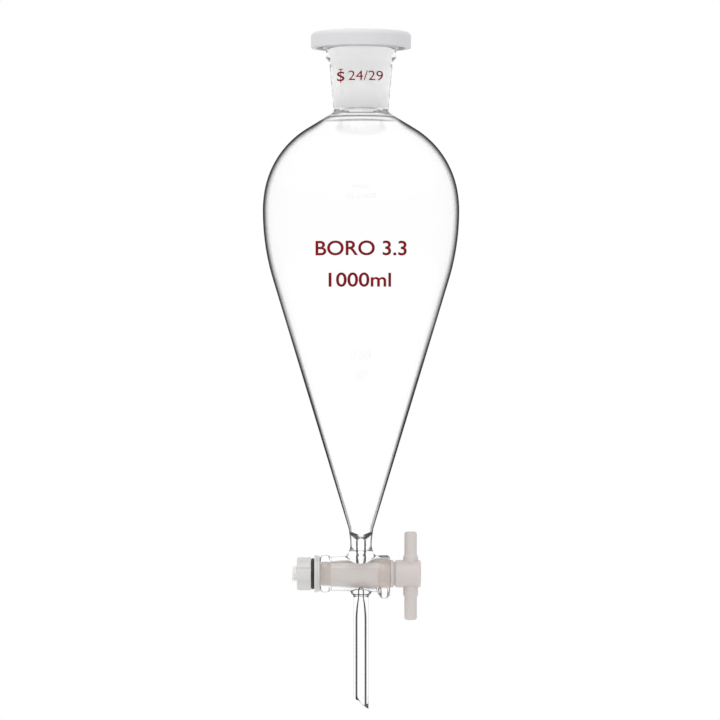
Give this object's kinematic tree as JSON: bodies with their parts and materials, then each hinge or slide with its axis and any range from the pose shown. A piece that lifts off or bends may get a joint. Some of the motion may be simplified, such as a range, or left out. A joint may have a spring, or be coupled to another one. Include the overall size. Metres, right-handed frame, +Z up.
{
  "type": "separatory funnel",
  "caption": "Pear-shaped glass separatory funnel with a ground socket, hollow plastic stopper, tapered-plug stopcock with T-handle, and a bevelled delivery stem.",
  "frame": {"origin": "on the funnel's vertical axis, level with the lowest point of the stem's slanted tip", "axes": "+Z up along the funnel's axis towards the stopper; the stopcock's axis is parallel to X with the handle at +X and the retaining nut at -X; -Y is the side that carries the printed marks"},
  "size_m": [0.1168, 0.1168, 0.4024],
  "materials": {
    "borosilicate_glass": "polished",
    "ground_glass": "satin",
    "polyethylene": "satin",
    "ptfe": "satin",
    "nut_plastic": "satin",
    "black_rubber": "matte",
    "red_enamel": "satin"
  },
  "bodies": {
    "glass": {"neck_socket": "ground_glass", "bulb": "borosilicate_glass", "drain_tube": "borosilicate_glass", "stopcock_barrel": "borosilicate_glass", "delivery_stem": "borosilicate_glass"},
    "stopper": {"stopper": "polyethylene"},
    "plug": {"stopcock_plug": "ptfe", "handle_bar": "ptfe", "washer": "ptfe"},
    "ring": {"o_ring": "black_rubber"},
    "nut": {"retaining_nut": "nut_plastic"}
  },
  "joints": [
    {"name": "stopper_lift", "type": "slide", "parent": "glass", "child": "stopper", "axis": [0, 0, 1], "range_m": [0, 0.1]},
    {"name": "stopcock_turn", "type": "hinge", "parent": "glass", "child": "plug", "pos_m": [0, 0, 0.0804], "axis": [1, 0, 0], "continuous": true},
    {"name": "nut_travel", "type": "slide", "parent": "plug", "child": "ring", "axis": [-1, 0, 0], "range_m": [0, 0.012]},
    {"name": "nut_spin", "type": "hinge", "parent": "ring", "child": "nut", "pos_m": [0, 0, 0.0804], "axis": [-1, 0, 0], "range_deg": [0, 2880]}
  ],
  "couplings": [
    {"joint": "nut_travel", "follows": "nut_spin", "m_per_rad": 0.00023873}
  ]
}
